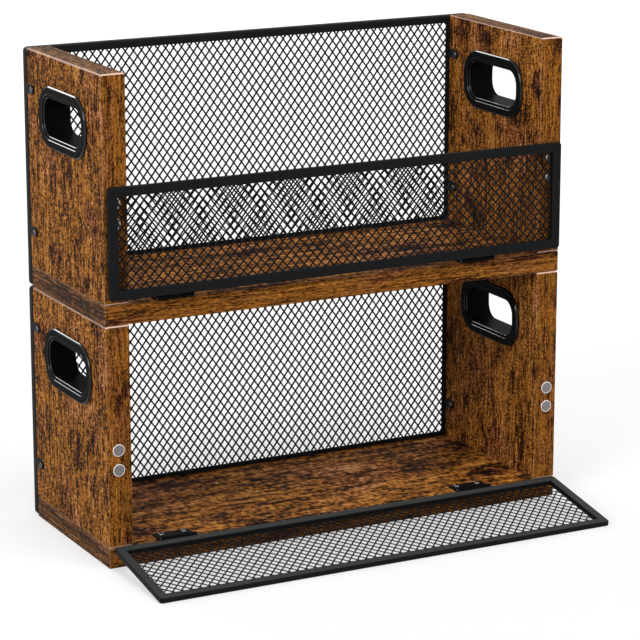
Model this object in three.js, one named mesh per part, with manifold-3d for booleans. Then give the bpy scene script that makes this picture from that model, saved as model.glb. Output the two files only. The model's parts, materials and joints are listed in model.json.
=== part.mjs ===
// A storage tower of two stacked media crates, each with a drop-down mesh door at its front.
// The lower crate's door lies open with its free edge at the floor, and the upper crate's door is shut.
// Millimetres. +X is to the right, +Y to the back and +Z up. The origin is on the floor, at the centre of
// the lower crate's footprint. Each crate is built in its own frame, with its underside at z = 0.

import * as THREE from "three";
import { mergeGeometries, mergeVertices } from "three/addons/utils/BufferGeometryUtils.js";
import Module from "manifold-3d";

const wasm = await Module();
wasm.setup();

// Driving dimensions of a crate, of its boards and of its door
const crateWidth = 480;
const crateDepth = 175;
const crateHeight = 230;
const boardThickness = 20;
const panelThickness = 24;
const doorHeight = 104;
const doorThickness = 5;
const doorBarWidth = 9;

// The eased edges of the boards, and how far a shut door keeps in from the crate's sides
const edgeEase = 1.4;
const doorSideInset = 3;
const doorCornerRadius = 2.5;
const doorEase = 0.5;

// Handle holes: a rounded opening, lined by a bezel on each face of the side panel
const handleLength = 88;
const handleHeight = 36;
const handleRadius = 14;
const handleDrop = 57;
const bezelWidth = 11;
const bezelThickness = 2.5;
const bezelEase = 1.2;
const bezelStepWidth = 3;
const bezelStepDepth = 1;
const bezelWall = 2;
const bezelClearance = 0.3;

// Back frame: a sheet-steel tray with a window for its mesh, and forked tabs that grip the side panels
const sheetThickness = 1.5;
const backFrameDepth = 9;
const backFrameGap = 0.5;
const backFrameTopBar = 7.5;
const backFrameShow = 4;
const backFrameRadius = 4;
const tabHeight = 8.5;
const tabReach = 19;
const tabLift = 36;
const tabDrop = 38;
const tabBoltRadius = 2;
const tabHeadRadius = 3.5;
const tabHeadHeight = 2.2;

// Mesh: strands in a diamond pattern, with a closed rim that the frames hold
const backMeshColumns = 11;
const backMeshRows = 4;
const doorMeshColumns = 11;
const doorMeshRows = 2;
const strandWidth = 2;
const meshThickness = 1.2;
const backMeshRim = 5;
const doorMeshRim = 3.5;

// Hinges: two leaves on a pin, the fixed one screwed on the board and the moving one welded under the
// door's lower bar. The left hinge sits nearer to its side than the right one.
const leftHingeInset = 69;
const rightHingeInset = 93;
const hingeLength = 37;
const leafThickness = 1.2;
const fixedLeafDepth = 18;
const leafCornerRadius = 2.5;
const footReach = 4;
const barrelRadius = 2.2;
const pinRadius = 1.1;
const pinHeadRadius = 1.9;
const pinHeadHeight = 0.8;
const hingeScrewSpacing = 23;
const hingeScrewSetback = 12;
const hingeScrewRadius = 1.4;
const hingeScrewLength = 12;
const hingeScrewTip = 3;
const hingeHeadRadius = 3.2;
const hingeHeadHeight = 2;

// Magnets: round ones let into the front edges of the side panels, two on each, below the shut door's top
const magnetRadius = 6;
const magnetThickness = 4;
const magnetInset = 11;
const magnetDrop = 15.5;
const magnetSpacing = 19;

// Clearances, and the overrun of every cut
const boreClearance = 0.2;
const pinClearance = 0.15;
const knuckleGap = 0.4;
const barrelClearance = 0.35;
const doorBarrelGap = 0.5;
const seatGap = 0.05;
const magnetGap = 0.4;
const grooveClearance = 0.3;
const floorGap = 0.2;
const overrun = 1;

// Fineness of the round stretches, and the grid that every corner lies on
const cornerSteps = 2;
const boreSides = 8;
const barrelSides = 10;
const magnetSides = 16;
const headSides = 8;
const gridStep = 0.001;

// Places that follow from the sizes above
const front = -crateDepth / 2;
const back = crateDepth / 2;
const side = crateWidth / 2;
const innerSide = side - panelThickness;
const handleZ = crateHeight - handleDrop;
const tabZs = [boardThickness + tabLift, crateHeight - tabDrop];
const tabBoltY = back - tabReach + tabHeight / 2;
const magnetX = side - magnetInset;
const hingeXs = { left: leftHingeInset - side, right: side - rightHingeInset };

// The pin's axis lies in front of the board's top front edge, far enough out for the barrel to clear it
const pinOffset = (barrelRadius + barrelClearance) * Math.SQRT1_2;
const pinY = front - pinOffset;
const pinZ = boardThickness + pinOffset;
const doorStandOff = leafThickness + seatGap;
const doorInnerY = pinOffset - doorStandOff;
const doorLowerZ = barrelRadius + doorBarrelGap;
const doorWidth = crateWidth - 2 * doorSideInset;
const doorTopZ = pinZ + doorLowerZ + doorHeight;
const magnetZs = [doorTopZ - magnetDrop - magnetSpacing, doorTopZ - magnetDrop];
const magnetProud = doorStandOff - magnetGap;

// The open door turns until the outer edge of its free side is down at the floor
const outerCorner = new THREE.Vector2(doorInnerY - doorThickness, doorLowerZ + doorHeight);
const cornerDrop = Math.asin((pinZ - floorGap) / outerCorner.length());
const openAngle = Math.PI + cornerDrop - outerCorner.angle();

const materials = {
  wood: new THREE.MeshStandardMaterial({ color: 0x7a4f2c, roughness: 0.62, metalness: 0 }),
  blackSteel: new THREE.MeshStandardMaterial({ color: 0x1d1e20, roughness: 0.55, metalness: 0.2 }),
  bezelPlastic: new THREE.MeshStandardMaterial({ color: 0x141517, roughness: 0.38, metalness: 0 }),
  magnetSteel: new THREE.MeshStandardMaterial({ color: 0xb9babd, roughness: 0.3, metalness: 1 }),
};

// Solids: each boolean works on merged, closed geometry and gives a geometry back
function solidOf(geometry) {
  const bare = geometry.clone();
  bare.deleteAttribute("normal");
  bare.deleteAttribute("uv");
  const merged = mergeVertices(bare);
  return new wasm.Manifold(
    new wasm.Mesh({
      numProp: 3,
      vertProperties: merged.attributes.position.array,
      triVerts: new Uint32Array(merged.index.array),
    }),
  );
}

function geometryOf(solid) {
  const mesh = solid.getMesh();
  const geometry = new THREE.BufferGeometry();
  geometry.setAttribute("position", new THREE.BufferAttribute(mesh.vertProperties, mesh.numProp));
  geometry.setIndex(new THREE.BufferAttribute(mesh.triVerts, 1));
  return geometry;
}

function join(...pieces) {
  return geometryOf(pieces.map(solidOf).reduce((whole, piece) => whole.add(piece)));
}

function cut(body, ...cutters) {
  return geometryOf(cutters.map(solidOf).reduce((left, cutter) => left.subtract(cutter), solidOf(body)));
}

// Faces that meet share one plane, because every corner is rounded to the same fine grid
function snapped(geometry) {
  const positions = geometry.attributes.position;
  for (let i = 0; i < positions.array.length; i += 1) {
    positions.array[i] = Math.round(positions.array[i] / gridStep) * gridStep;
  }
  return geometry;
}

// Outlines
function rectangle(left, right, low, high) {
  return new THREE.Shape([
    new THREE.Vector2(left, low),
    new THREE.Vector2(right, low),
    new THREE.Vector2(right, high),
    new THREE.Vector2(left, high),
  ]);
}

function roundedRectangle(left, right, low, high, radius) {
  return new THREE.Shape()
    .absarc(left + radius, low + radius, radius, Math.PI, 1.5 * Math.PI)
    .absarc(right - radius, low + radius, radius, 1.5 * Math.PI, 2 * Math.PI)
    .absarc(right - radius, high - radius, radius, 0, 0.5 * Math.PI)
    .absarc(left + radius, high - radius, radius, 0.5 * Math.PI, Math.PI);
}

function withHoles(shape, ...holes) {
  shape.holes.push(...holes);
  return shape;
}

// Plates: an outline made thick along one axis, from one face to the other, with eased edges if any
function plate(shape, low, high, ease = 0) {
  return new THREE.ExtrudeGeometry(shape, {
    depth: high - low - 2 * ease,
    curveSegments: cornerSteps,
    bevelEnabled: ease > 0,
    bevelSegments: 1,
    bevelThickness: ease,
    bevelSize: ease,
    bevelOffset: -ease,
  }).translate(0, 0, low + ease);
}

const towardX = new THREE.Matrix4().makeBasis(
  new THREE.Vector3(0, 1, 0),
  new THREE.Vector3(0, 0, 1),
  new THREE.Vector3(1, 0, 0),
);
const towardFront = new THREE.Matrix4().makeBasis(
  new THREE.Vector3(1, 0, 0),
  new THREE.Vector3(0, 0, 1),
  new THREE.Vector3(0, -1, 0),
);

// A plate whose outline is drawn in (y, z), thick along X
function plateAcrossX(shape, left, right, ease) {
  return plate(shape, left, right, ease).applyMatrix4(towardX);
}

// A plate whose outline is drawn in (x, z), thick along Y
function plateAcrossY(shape, frontFace, backFace, ease) {
  return plate(shape, -backFace, -frontFace, ease).applyMatrix4(towardFront);
}

// Round pieces: profile points are (radius, place along the axis), and the axis is turned to X, Y or Z
function turned(profile, sides) {
  return new THREE.LatheGeometry(profile.map(([radius, along]) => new THREE.Vector2(radius, along)), sides);
}

function rod(radius, start, end, sides) {
  return turned([[0, start], [radius, start], [radius, end], [0, end]], sides);
}

function rodAlongX(radius, left, right, y, z, sides) {
  return rod(radius, -right, -left, sides).rotateZ(Math.PI / 2).translate(0, y, z);
}

function rodAlongY(radius, start, end, x, z, sides) {
  return rod(radius, start, end, sides).translate(x, 0, z);
}

function rodAlongZ(radius, low, high, x, y, sides) {
  return rod(radius, low, high, sides).rotateX(Math.PI / 2).translate(x, y, 0);
}

// Half of a pan head's profile, from its seat at "seat" outwards in the direction "out"
const headProfileShares = [[1, 0], [1, 0.4], [0.7, 0.85], [0, 1]];

function panHead(radius, height, seat, out) {
  return headProfileShares.map(([wide, tall]) => [radius * wide, seat + out * height * tall]);
}

// Boards: the bottom board lies under both side panels, with pilot holes for the hinge screws
function bottomBoard() {
  const board = plate(rectangle(-side, side, front, back), 0, boardThickness, edgeEase);
  const pilots = Object.values(hingeXs).flatMap((middle) =>
    hingeScrewXs(middle).map((x) => {
      const bottom = boardThickness + leafThickness - hingeScrewLength - overrun;
      const radius = hingeScrewRadius + boreClearance;
      return rodAlongZ(radius, bottom, boardThickness + overrun, x, front + hingeScrewSetback, boreSides);
    }),
  );
  return cut(board, ...pilots);
}

function hingeScrewXs(middle) {
  return [middle - hingeScrewSpacing / 2, middle + hingeScrewSpacing / 2];
}

// A side panel stands on the board; "hand" is -1 for the left one and 1 for the right one
function sidePanel(hand) {
  const grow = bezelWall + bezelClearance;
  const face = rectangle(front, back, boardThickness, crateHeight);
  const outline = withHoles(face, handleOutline(grow, handleZ));
  const faces = [hand * innerSide, hand * side].sort((a, b) => a - b);
  const panel = plateAcrossX(outline, faces[0], faces[1], edgeEase);
  const boltBore = tabBoltRadius + boreClearance;
  const boltHoles = tabZs.map((z) =>
    rodAlongX(boltBore, faces[0] - overrun, faces[1] + overrun, tabBoltY, z, headSides),
  );
  const magnetBores = magnetZs.map((z) => {
    const bottom = front + magnetThickness - magnetProud + boreClearance;
    return rodAlongY(magnetRadius + boreClearance, front - overrun, bottom, hand * magnetX, z, magnetSides);
  });
  return cut(panel, ...boltHoles, ...magnetBores);
}

// Handle bezels: a flange with an eased outer rim and a stepped inner one, and a sleeve that runs
// halfway through the panel. The flange is half of a plate that is eased on both faces.
function handleOutline(grow, middleZ = 0) {
  const long = handleLength / 2 + grow;
  const tall = handleHeight / 2 + grow;
  return roundedRectangle(-long, long, middleZ - tall, middleZ + tall, handleRadius + grow);
}

function handleBezel() {
  const opening = handleOutline(0);
  const stepFace = bezelThickness - bezelStepDepth;
  const sleeveEnd = seatGap - panelThickness / 2;
  const flange = cut(
    plateAcrossX(handleOutline(bezelWidth), -bezelThickness, bezelThickness, bezelEase),
    plateAcrossX(handleOutline(bezelWidth + overrun), -bezelThickness - overrun, 0),
    plateAcrossX(opening, -overrun, bezelThickness + overrun),
    plateAcrossX(handleOutline(bezelStepWidth), stepFace, bezelThickness + overrun),
  );
  return join(flange, plateAcrossX(withHoles(handleOutline(bezelWall), opening), sleeveEnd, stepFace / 2));
}

// Back frame: a plate with a window, a rim folded back all round it, and tabs folded forward at four places
function backFrameOutline(inset) {
  const low = backFrameGap + inset;
  const high = crateHeight - backFrameGap - inset;
  return roundedRectangle(inset - side, side - inset, low, high, backFrameRadius - inset);
}

const windowSide = innerSide - backFrameShow;
const windowLow = boardThickness + backFrameShow;
const windowHigh = crateHeight - backFrameGap - backFrameTopBar;

function tab(left, right, rootY, middleZ) {
  const half = tabHeight / 2;
  const outline = new THREE.Shape()
    .moveTo(rootY, middleZ + half)
    .absarc(tabBoltY, middleZ, half, 0.5 * Math.PI, Math.PI)
    .absarc(tabBoltY, middleZ, half, Math.PI, 1.5 * Math.PI)
    .lineTo(rootY, middleZ - half);
  return plateAcrossX(outline, left, right);
}

function tabPair(hand, middleZ) {
  const half = tabHeight / 2;
  const outer = [hand * side, hand * (side + sheetThickness)].sort((a, b) => a - b);
  const inner = [hand * innerSide, hand * (innerSide - sheetThickness)].sort((a, b) => a - b);
  const root = [hand * (side - sheetThickness / 2), hand * (side + sheetThickness)].sort((a, b) => a - b);
  const rootOutline = rectangle(root[0], root[1], middleZ - half, middleZ + half);
  return [
    tab(outer[0], outer[1], back + sheetThickness, middleZ),
    tab(inner[0], inner[1], back + sheetThickness, middleZ),
    plateAcrossY(rootOutline, back, back + backFrameDepth),
  ];
}

function backFrame() {
  const window = rectangle(-windowSide, windowSide, windowLow, windowHigh);
  const face = plateAcrossY(withHoles(backFrameOutline(0), window), back, back + sheetThickness);
  const rimOutline = withHoles(backFrameOutline(0), backFrameOutline(sheetThickness));
  const rim = plateAcrossY(rimOutline, back, back + backFrameDepth);
  const tabs = [-1, 1].flatMap((hand) => tabZs.flatMap((z) => tabPair(hand, z)));
  const reach = side + sheetThickness + overrun;
  const boltBore = tabBoltRadius + boreClearance;
  const holes = tabZs.map((z) => rodAlongX(boltBore, -reach, reach, tabBoltY, z, headSides));
  return cut(join(face, rim, ...tabs), ...holes);
}

// A bolt runs through both tabs and the panel, with a pan head on each face
function tabBolt(hand, middleZ) {
  const inner = innerSide - sheetThickness;
  const outer = side + sheetThickness;
  const profile = [
    ...panHead(tabHeadRadius, tabHeadHeight, inner, -1).reverse(),
    [tabBoltRadius, inner],
    [tabBoltRadius, outer],
    ...panHead(tabHeadRadius, tabHeadHeight, outer, 1),
  ];
  return turned(profile, headSides).rotateZ(-hand * Math.PI / 2).translate(0, tabBoltY, middleZ);
}

// Mesh: a flat sheet with a net of diamond gaps, cut off straight at the window's edges, and a closed rim
function gapOutline(centre, half, reach) {
  const corners = [
    new THREE.Vector2(centre.x - half.x, centre.y),
    new THREE.Vector2(centre.x, centre.y - half.y),
    new THREE.Vector2(centre.x + half.x, centre.y),
    new THREE.Vector2(centre.x, centre.y + half.y),
  ];
  const inside = corners.filter(
    (corner) => Math.abs(corner.x) <= reach.x + gridStep && Math.abs(corner.y) <= reach.y + gridStep,
  );
  const isQuarter = inside.length < 3;
  return new THREE.Shape(isQuarter ? [...inside, centre] : inside);
}

function diamondGaps(reach, columns, rows) {
  const diagonal = new THREE.Vector2(reach.x / columns, reach.y / rows);
  const edgeDistance = (diagonal.x * diagonal.y) / diagonal.length();
  const half = diagonal.clone().multiplyScalar(1 - strandWidth / 2 / edgeDistance);
  const gaps = [];
  for (let column = 0; column <= 2 * columns; column += 1) {
    for (let row = column % 2; row <= 2 * rows; row += 2) {
      const centre = new THREE.Vector2(column, row).multiply(diagonal).sub(reach);
      gaps.push(gapOutline(centre, half, reach));
    }
  }
  return gaps;
}

// A net that fills a window of the given size, centred on z = 0, between two faces across Y
function diamondNet(width, height, columns, rows, rim, frontFace, backFace) {
  const reach = new THREE.Vector2(width / 2, height / 2);
  const sheet = rectangle(-reach.x - rim, reach.x + rim, -reach.y - rim, reach.y + rim);
  const gaps = diamondGaps(reach, columns, rows).map((gap) =>
    plateAcrossY(gap, frontFace - overrun, backFace + overrun),
  );
  return cut(plateAcrossY(sheet, frontFace, backFace), mergeGeometries(gaps));
}

function backMesh() {
  const width = 2 * windowSide;
  const height = windowHigh - windowLow;
  const face = back + sheetThickness;
  return diamondNet(
    width, height, backMeshColumns, backMeshRows, backMeshRim, face, face + meshThickness,
  ).translate(0, 0, (windowLow + windowHigh) / 2);
}

// Door: a flat bar frame with a groove round its window, and the mesh held in the groove.
// It is drawn shut, about the hinge pin's axis, and the group it is put in turns it.
const doorMiddleZ = doorLowerZ + doorHeight / 2;
const doorWindowWidth = doorWidth - 2 * doorBarWidth;
const doorWindowHeight = doorHeight - 2 * doorBarWidth;
const doorMeshY = doorInnerY - doorThickness / 2;

function centredRectangle(width, height, middleZ) {
  return rectangle(-width / 2, width / 2, middleZ - height / 2, middleZ + height / 2);
}

function doorFrame() {
  const half = doorWidth / 2;
  const high = doorLowerZ + doorHeight;
  const outline = withHoles(
    roundedRectangle(-half, half, doorLowerZ, high, doorCornerRadius),
    centredRectangle(doorWindowWidth, doorWindowHeight, doorMiddleZ),
  );
  const reach = 2 * (doorMeshRim + grooveClearance);
  const groove = centredRectangle(doorWindowWidth + reach, doorWindowHeight + reach, doorMiddleZ);
  const halfSlot = meshThickness / 2 + grooveClearance;
  return cut(
    plateAcrossY(outline, doorInnerY - doorThickness, doorInnerY, doorEase),
    plateAcrossY(groove, doorMeshY - halfSlot, doorMeshY + halfSlot),
  );
}

function doorMesh() {
  const halfMesh = meshThickness / 2;
  return diamondNet(
    doorWindowWidth, doorWindowHeight, doorMeshColumns, doorMeshRows, doorMeshRim,
    doorMeshY - halfMesh, doorMeshY + halfMesh,
  ).translate(0, 0, doorMiddleZ);
}

// Hinges: three knuckles on a pin, the outer two on the fixed leaf and the middle one on the door's leaf.
// A hinge is drawn with its middle at x = 0.
const knuckleLength = (hingeLength - 2 * knuckleGap) / 3;
const knuckleEnds = [
  [-hingeLength / 2, knuckleLength - hingeLength / 2],
  [-knuckleLength / 2, knuckleLength / 2],
  [hingeLength / 2 - knuckleLength, hingeLength / 2],
];
const leafSetback = barrelRadius + barrelClearance;

function hingeBore(y, z) {
  const reach = hingeLength / 2 + overrun;
  return rodAlongX(pinRadius + pinClearance, -reach, reach, y, z, barrelSides);
}

function fixedLeaf() {
  const half = hingeLength / 2;
  const top = boardThickness + leafThickness;
  const rear = front + fixedLeafDepth;
  const leafOutline = roundedRectangle(-half, half, pinY + leafSetback, rear, leafCornerRadius);
  const pieces = [plate(leafOutline, boardThickness, top)];
  for (const [left, right] of [knuckleEnds[0], knuckleEnds[2]]) {
    const tongue = rectangle(left, right, pinY, front + hingeScrewSetback / 2);
    pieces.push(plate(tongue, boardThickness, top));
    pieces.push(rodAlongX(barrelRadius, left, right, pinY, pinZ, barrelSides));
  }
  const radius = hingeScrewRadius + boreClearance;
  const screwY = front + hingeScrewSetback;
  const holes = hingeScrewXs(0).map((x) =>
    rodAlongZ(radius, boardThickness - overrun, top + overrun, x, screwY, boreSides),
  );
  return cut(join(...pieces), hingeBore(pinY, pinZ), ...holes);
}

// The door's leaf is a short foot, as wide as its knuckle, so it hides under the bar
function doorLeaf() {
  const [left, right] = knuckleEnds[1];
  const footTop = doorLowerZ - seatGap;
  const foot = rectangle(left, right, doorInnerY - footReach, doorInnerY);
  return cut(
    join(
      plate(foot, footTop - leafThickness, footTop),
      rodAlongX(barrelRadius, left, right, 0, 0, barrelSides),
    ),
    hingeBore(0, 0),
  );
}

function hingePin() {
  const seat = hingeLength / 2 + seatGap;
  const profile = [
    [0, -seat - pinHeadHeight],
    [pinHeadRadius, -seat - pinHeadHeight],
    [pinHeadRadius, -seat],
    [pinRadius, -seat],
    [pinRadius, seat],
    [pinHeadRadius, seat],
    [pinHeadRadius, seat + pinHeadHeight],
    [0, seat + pinHeadHeight],
  ];
  return turned(profile, barrelSides).rotateZ(Math.PI / 2).translate(0, pinY, pinZ);
}

function hingeScrew() {
  const seat = boardThickness + leafThickness;
  const profile = [
    [0, seat - hingeScrewLength],
    [hingeScrewRadius, seat - hingeScrewLength + hingeScrewTip],
    [hingeScrewRadius, seat],
    ...panHead(hingeHeadRadius, hingeHeadHeight, seat, 1),
  ];
  return turned(profile, boreSides).rotateX(Math.PI / 2).translate(0, front + hingeScrewSetback, 0);
}

// A magnet stands a little proud of the panel's front edge and stops just short of the shut door
function magnet() {
  const face = front - magnetProud;
  return rodAlongY(magnetRadius, face, face + magnetThickness, 0, 0, magnetSides);
}

// Assembly
function addPiece(group, name, geometry, material, x = 0, z = 0) {
  const piece = new THREE.Mesh(snapped(geometry), material);
  piece.name = name;
  piece.position.set(x, 0, z);
  group.add(piece);
  return piece;
}

const hands = [["left", -1], ["right", 1]];
const levels = ["lower", "upper"];

function addBezels(crate, name, hand) {
  const plastic = materials.bezelPlastic;
  const outer = addPiece(crate, `${name}_outer_bezel`, handleBezel(), plastic, hand * side, handleZ);
  const inner = addPiece(crate, `${name}_inner_bezel`, handleBezel(), plastic, hand * innerSide, handleZ);
  const leftwards = hand < 0 ? outer : inner;
  leftwards.rotation.z = Math.PI;
}

function addHinge(crate, door, name, middle) {
  addPiece(crate, `${name}_fixed_leaf`, fixedLeaf(), materials.blackSteel, middle);
  addPiece(crate, `${name}_pin`, hingePin(), materials.blackSteel, middle);
  addPiece(door, `${name}_door_leaf`, doorLeaf(), materials.blackSteel, middle);
  hingeScrewXs(middle).forEach((x, i) => {
    addPiece(crate, `${name}_screw_${i + 1}`, hingeScrew(), materials.blackSteel, x);
  });
}

function makeCrate(level, doorAngle) {
  const crate = new THREE.Group();
  const door = new THREE.Group();
  door.position.set(0, pinY, pinZ);
  door.rotation.x = doorAngle;
  crate.add(door);
  addPiece(crate, `${level}_bottom_board`, bottomBoard(), materials.wood);
  addPiece(crate, `${level}_back_frame`, backFrame(), materials.blackSteel);
  addPiece(crate, `${level}_back_mesh`, backMesh(), materials.blackSteel);
  addPiece(door, `${level}_door_frame`, doorFrame(), materials.blackSteel);
  addPiece(door, `${level}_door_mesh`, doorMesh(), materials.blackSteel);
  for (const [sideName, hand] of hands) {
    addPiece(crate, `${level}_${sideName}_side_panel`, sidePanel(hand), materials.wood);
    addBezels(crate, `${level}_${sideName}_handle`, hand);
    addHinge(crate, door, `${level}_${sideName}_hinge`, hingeXs[sideName]);
    magnetZs.forEach((z, i) => {
      const name = `${level}_${sideName}_${levels[i]}_magnet`;
      addPiece(crate, name, magnet(), materials.magnetSteel, hand * magnetX, z);
    });
    tabZs.forEach((z, i) => {
      addPiece(crate, `${level}_${sideName}_${levels[i]}_tab_bolt`, tabBolt(hand, z), materials.blackSteel);
    });
  }
  return crate;
}

const tower = new THREE.Group();
const lowerCrate = makeCrate("lower", openAngle);
const upperCrate = makeCrate("upper", 0);
upperCrate.position.z = crateHeight;
tower.add(lowerCrate, upperCrate);

export default tower;
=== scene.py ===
# %% [markdown]
# # A storage tower of two media crates
# Two equal crates stand one on the other. Each has a bottom board and two thick side panels of
# rustic brown particle board, a black steel frame with diamond mesh at the back, and a low mesh door
# that drops down at the front. The upper door is shut, and the lower one lies open on the floor.
#
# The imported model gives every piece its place. This lesson dresses it: each cell explains one piece
# or one finish, makes it, and prints what it made.

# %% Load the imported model
import json
import math

import bmesh
import bpy
from mathutils import Matrix, Vector

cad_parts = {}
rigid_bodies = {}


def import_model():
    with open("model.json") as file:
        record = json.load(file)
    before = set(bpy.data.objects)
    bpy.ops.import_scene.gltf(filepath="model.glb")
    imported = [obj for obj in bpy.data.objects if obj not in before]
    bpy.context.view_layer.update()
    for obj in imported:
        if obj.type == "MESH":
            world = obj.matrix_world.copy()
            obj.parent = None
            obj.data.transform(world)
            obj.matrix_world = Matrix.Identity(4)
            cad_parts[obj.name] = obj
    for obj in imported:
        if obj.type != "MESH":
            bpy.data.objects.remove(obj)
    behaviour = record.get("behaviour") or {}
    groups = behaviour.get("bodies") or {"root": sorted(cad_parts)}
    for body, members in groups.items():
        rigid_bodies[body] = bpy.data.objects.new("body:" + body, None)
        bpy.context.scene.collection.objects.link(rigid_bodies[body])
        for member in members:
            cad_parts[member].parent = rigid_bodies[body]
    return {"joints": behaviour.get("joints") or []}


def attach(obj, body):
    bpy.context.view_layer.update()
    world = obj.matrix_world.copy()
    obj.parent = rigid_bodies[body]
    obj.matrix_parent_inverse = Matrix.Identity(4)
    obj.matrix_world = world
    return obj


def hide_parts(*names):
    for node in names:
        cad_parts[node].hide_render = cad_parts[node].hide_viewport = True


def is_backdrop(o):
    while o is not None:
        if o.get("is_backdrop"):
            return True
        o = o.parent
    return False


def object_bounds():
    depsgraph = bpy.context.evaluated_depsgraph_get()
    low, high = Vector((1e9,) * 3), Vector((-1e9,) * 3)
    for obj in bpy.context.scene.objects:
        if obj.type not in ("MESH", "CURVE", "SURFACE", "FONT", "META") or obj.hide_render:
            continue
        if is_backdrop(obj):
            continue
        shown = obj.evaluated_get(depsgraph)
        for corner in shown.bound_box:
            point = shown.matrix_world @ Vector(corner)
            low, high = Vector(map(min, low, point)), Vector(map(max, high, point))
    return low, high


for leftover in list(bpy.data.objects):
    bpy.data.objects.remove(leftover)
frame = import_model()
cad_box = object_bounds()

# %% [markdown]
# ## The camera
# A long lens far away flattens the perspective, as in a catalogue photograph. Its place, turn and
# length come from matching the crates' corners, so the object is seen as it was photographed.

# %% Set up the camera
MM = 0.001
PICTURE_WIDTH, SENSOR_WIDTH = 640, 36
FOCAL_PIXELS = 2812.9
CAMERA_PLACE = (-1198.6, -2350.8, 867.2)
CAMERA_DOWN, CAMERA_TURN = 14.42, -27.47

camera_data = bpy.data.cameras.new("camera")
camera_data.sensor_width = SENSOR_WIDTH
camera_data.lens = FOCAL_PIXELS * SENSOR_WIDTH / PICTURE_WIDTH
camera_data.clip_end = 100
camera = bpy.data.objects.new("camera", camera_data)
camera.location = Vector(CAMERA_PLACE) * MM
camera.rotation_euler = (math.radians(90 - CAMERA_DOWN), 0, math.radians(CAMERA_TURN))
bpy.context.scene.collection.objects.link(camera)
bpy.context.scene.camera = camera
print("lens:", round(camera_data.lens, 1), "mm")

# %% [markdown]
# ## Colours and nodes
# Colours are written as the eye knows them, as sRGB hex values. Blender's sockets hold linear light,
# so one function converts them. A second small function adds a node, sets it and links its inputs,
# which keeps every material readable from top to bottom, and a third starts an empty material. The Mix
# node has separate sockets for numbers and for colours, under the same names, so they are reached by
# their index.

# %% Helpers for materials
NUMBER_A, NUMBER_B = 2, 3
COLOUR_A, COLOUR_B, MIXED_COLOUR = 6, 7, 2


def linear(code):
    """A hex colour as the linear red, green, blue and alpha that a socket holds."""
    shares = [int(code[i : i + 2], 16) / 255 for i in (1, 3, 5)]
    light = [s / 12.92 if s <= 0.04045 else ((s + 0.055) / 1.055) ** 2.4 for s in shares]
    return [*light, 1.0]


def add(tree, kind, inputs=None, stops=None, **settings):
    """Adds a node. Each input is a plain value, an output to link, or a node for its first output."""
    node = tree.nodes.new(kind)
    for name, value in settings.items():
        setattr(node, name, value)
    for name, value in (inputs or {}).items():
        source = value.outputs[0] if isinstance(value, bpy.types.Node) else value
        if isinstance(source, bpy.types.NodeSocket):
            tree.links.new(source, node.inputs[name])
        else:
            node.inputs[name].default_value = source
    if stops:
        ramp = node.color_ramp.elements
        for place, code in stops[1:-1]:
            ramp.new(place)
        for element, (place, code) in zip(ramp, stops):
            element.position = place
            element.color = linear(code)
    return node


def new_material(name):
    """An empty material, with its tree and the output node's surface still free."""
    material = bpy.data.materials.new(name)
    material.use_nodes = True
    material.node_tree.nodes.clear()
    return material, material.node_tree


print("white as linear light:", linear("#FFFFFF"))

# %% [markdown]
# ## Printed particle board
# The boards are particle board wrapped in melamine foil: paper printed with old, sawn wood, soaked in
# resin and pressed with a matching grain. The print is a golden brown full of short dark specks, with
# broader streaks and a few plum-brown patches. It runs along a board's length, and on the banding
# glued to the board's ends along the banding's.
#
# So a material for a board first has to know which way the grain runs. It takes the point in the
# object and turns it, so that the grain always lies along Z. On the two ends of the board there is no
# length left to follow, and the banding's print runs along Y instead. Across the board's depth the
# print is drawn broader, because the camera sees the broad faces at a flat angle: the side panels
# twice as broad, and the bottom board still broader and longer too.

# %% Follow the grain
BROAD = {"Z": 0.5, "X": 0.27}  # scale of the print across the depth, for grain along Z or X
LONG = {"Z": 1.0, "X": 0.45}  # and along the grain
BROAD_END = 0.5
FACES_THAT_WAY = 0.7


def along_the_grain(tree, grain_axis):
    """The point with its grain along Z, how far the surface faces each way, and if it is an end."""
    spot = add(tree, "ShaderNodeTexCoord").outputs
    at = add(tree, "ShaderNodeSeparateXYZ", {0: spot["Object"]}).outputs
    facing = add(tree, "ShaderNodeVectorMath", {0: spot["Normal"]}, operation="ABSOLUTE")
    faces = add(tree, "ShaderNodeSeparateXYZ", {0: facing}).outputs
    end = {0: faces[grain_axis], 1: FACES_THAT_WAY}
    is_end = add(tree, "ShaderNodeMath", end, operation="GREATER_THAN")
    along = add(tree, "ShaderNodeMix", {"Factor": is_end, NUMBER_A: at[grain_axis], NUMBER_B: at["Y"]})
    across = add(tree, "ShaderNodeMix", {"Factor": is_end, NUMBER_A: at["Y"], NUMBER_B: at[grain_axis]})
    broad = add(tree, "ShaderNodeMath", {0: across, 1: BROAD[grain_axis]}, operation="MULTIPLY")
    long = add(tree, "ShaderNodeMath", {0: along, 1: LONG[grain_axis]}, operation="MULTIPLY")
    deep = at["X" if grain_axis == "Z" else "Z"]
    turned = add(tree, "ShaderNodeCombineXYZ", {"X": broad, "Y": deep, "Z": long})
    size = add(tree, "ShaderNodeMapRange", {"Value": is_end, "To Min": 1.0, "To Max": BROAD_END})
    grain = add(tree, "ShaderNodeVectorMath", {0: turned, "Scale": size}, operation="SCALE")
    return grain, faces, is_end


print("across the depth the print is broader by", {axis: round(1 / BROAD[axis], 1) for axis in BROAD})

# %% [markdown]
# Noise makes wood when it is stretched: little across the grain and more along it. Three sizes of it,
# added up, make the print: wide clouds, narrow bands and short specks. Two more noises only darken.
# One cuts thin pores into the wood, with a sharp edge. The other makes the dark patches, and the pores
# run on through them. Real pores are about half a millimetre wide, and are drawn almost three times as
# coarse, so that they show. The banding glued to the front edges has a calmer print than the broad
# faces.

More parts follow.
